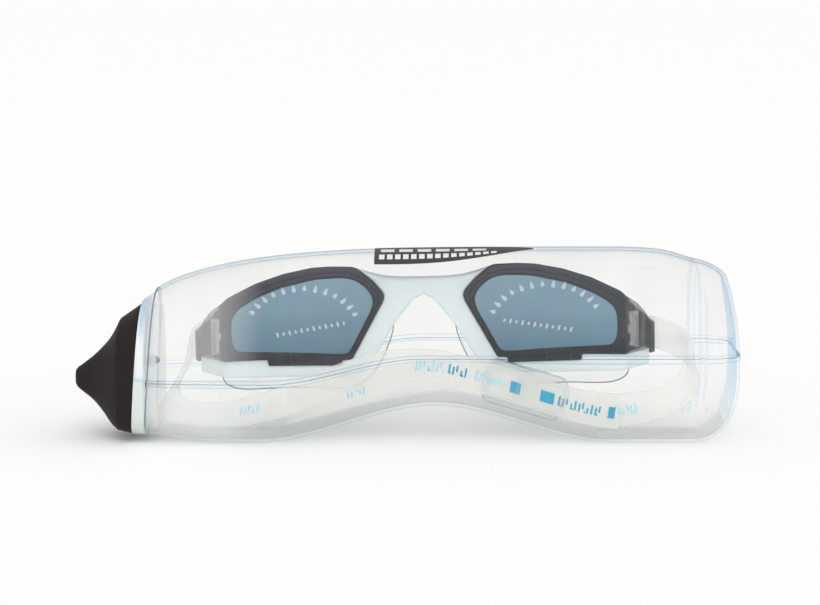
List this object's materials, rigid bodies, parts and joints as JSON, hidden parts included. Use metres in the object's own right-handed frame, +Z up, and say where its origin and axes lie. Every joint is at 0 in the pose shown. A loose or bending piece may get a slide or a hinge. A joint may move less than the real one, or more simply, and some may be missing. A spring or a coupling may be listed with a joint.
{
  "type": "swim goggles in a carrying case",
  "caption": "Swim goggles with smoke lenses and a clear strap, packed in a clear moulded case with an arched underside and a black pull-off nose cone.",
  "frame": {"origin": "middle of the case's length and depth, on the surface its feet rest on", "axes": "+X from the black nose cone to the tail, -Y the front that the lenses face, +Z up"},
  "size_m": [0.216, 0.0492, 0.0623],
  "materials": {
    "clear_case": "glossy clear, pale blue at the edges",
    "label_print": "satin printed film",
    "clear_plug": "glossy clear, pale mint",
    "black_rubber": "matt black with fine grain",
    "white_silicone": "satin translucent blue-white",
    "clear_silicone": "satin clear",
    "smoke_lens": "glossy smoke tint",
    "blue_film": "satin printed film",
    "smoke_bracket": "glossy smoke tint",
    "strap_silicone": "satin milky translucent",
    "clear_clip": "glossy clear"
  },
  "bodies": {
    "case": {"case_upper_shell": "clear_case", "case_lower_shell": "clear_case", "case_label": "label_print"},
    "cap": {"cap_plug": "clear_plug", "cap_nose_cone": "black_rubber"},
    "goggles": {"frame": "white_silicone", "left_lens": "smoke_lens", "right_lens": "smoke_lens", "left_lens_film": "blue_film", "right_lens_film": "blue_film", "left_eye_seal": "clear_silicone", "right_eye_seal": "clear_silicone", "left_strap_bracket": "smoke_bracket", "right_strap_bracket": "smoke_bracket", "left_strap": "strap_silicone", "right_strap": "strap_silicone"},
    "clip": {"strap_clip": "clear_clip"}
  },
  "joints": [
    {"name": "cap_pull", "type": "slide", "parent": "case", "child": "cap", "axis": [-1, 0, 0], "range_m": [0, 0.04]},
    {"name": "goggles_shift", "type": "slide", "parent": "case", "child": "goggles", "axis": [1, 0, 0], "range_m": [-0.0008, 0.006]},
    {"name": "clip_slide", "type": "slide", "parent": "goggles", "child": "clip", "axis": [0.9578, 0, -0.2873], "range_m": [-0.003, 0.003]}
  ]
}
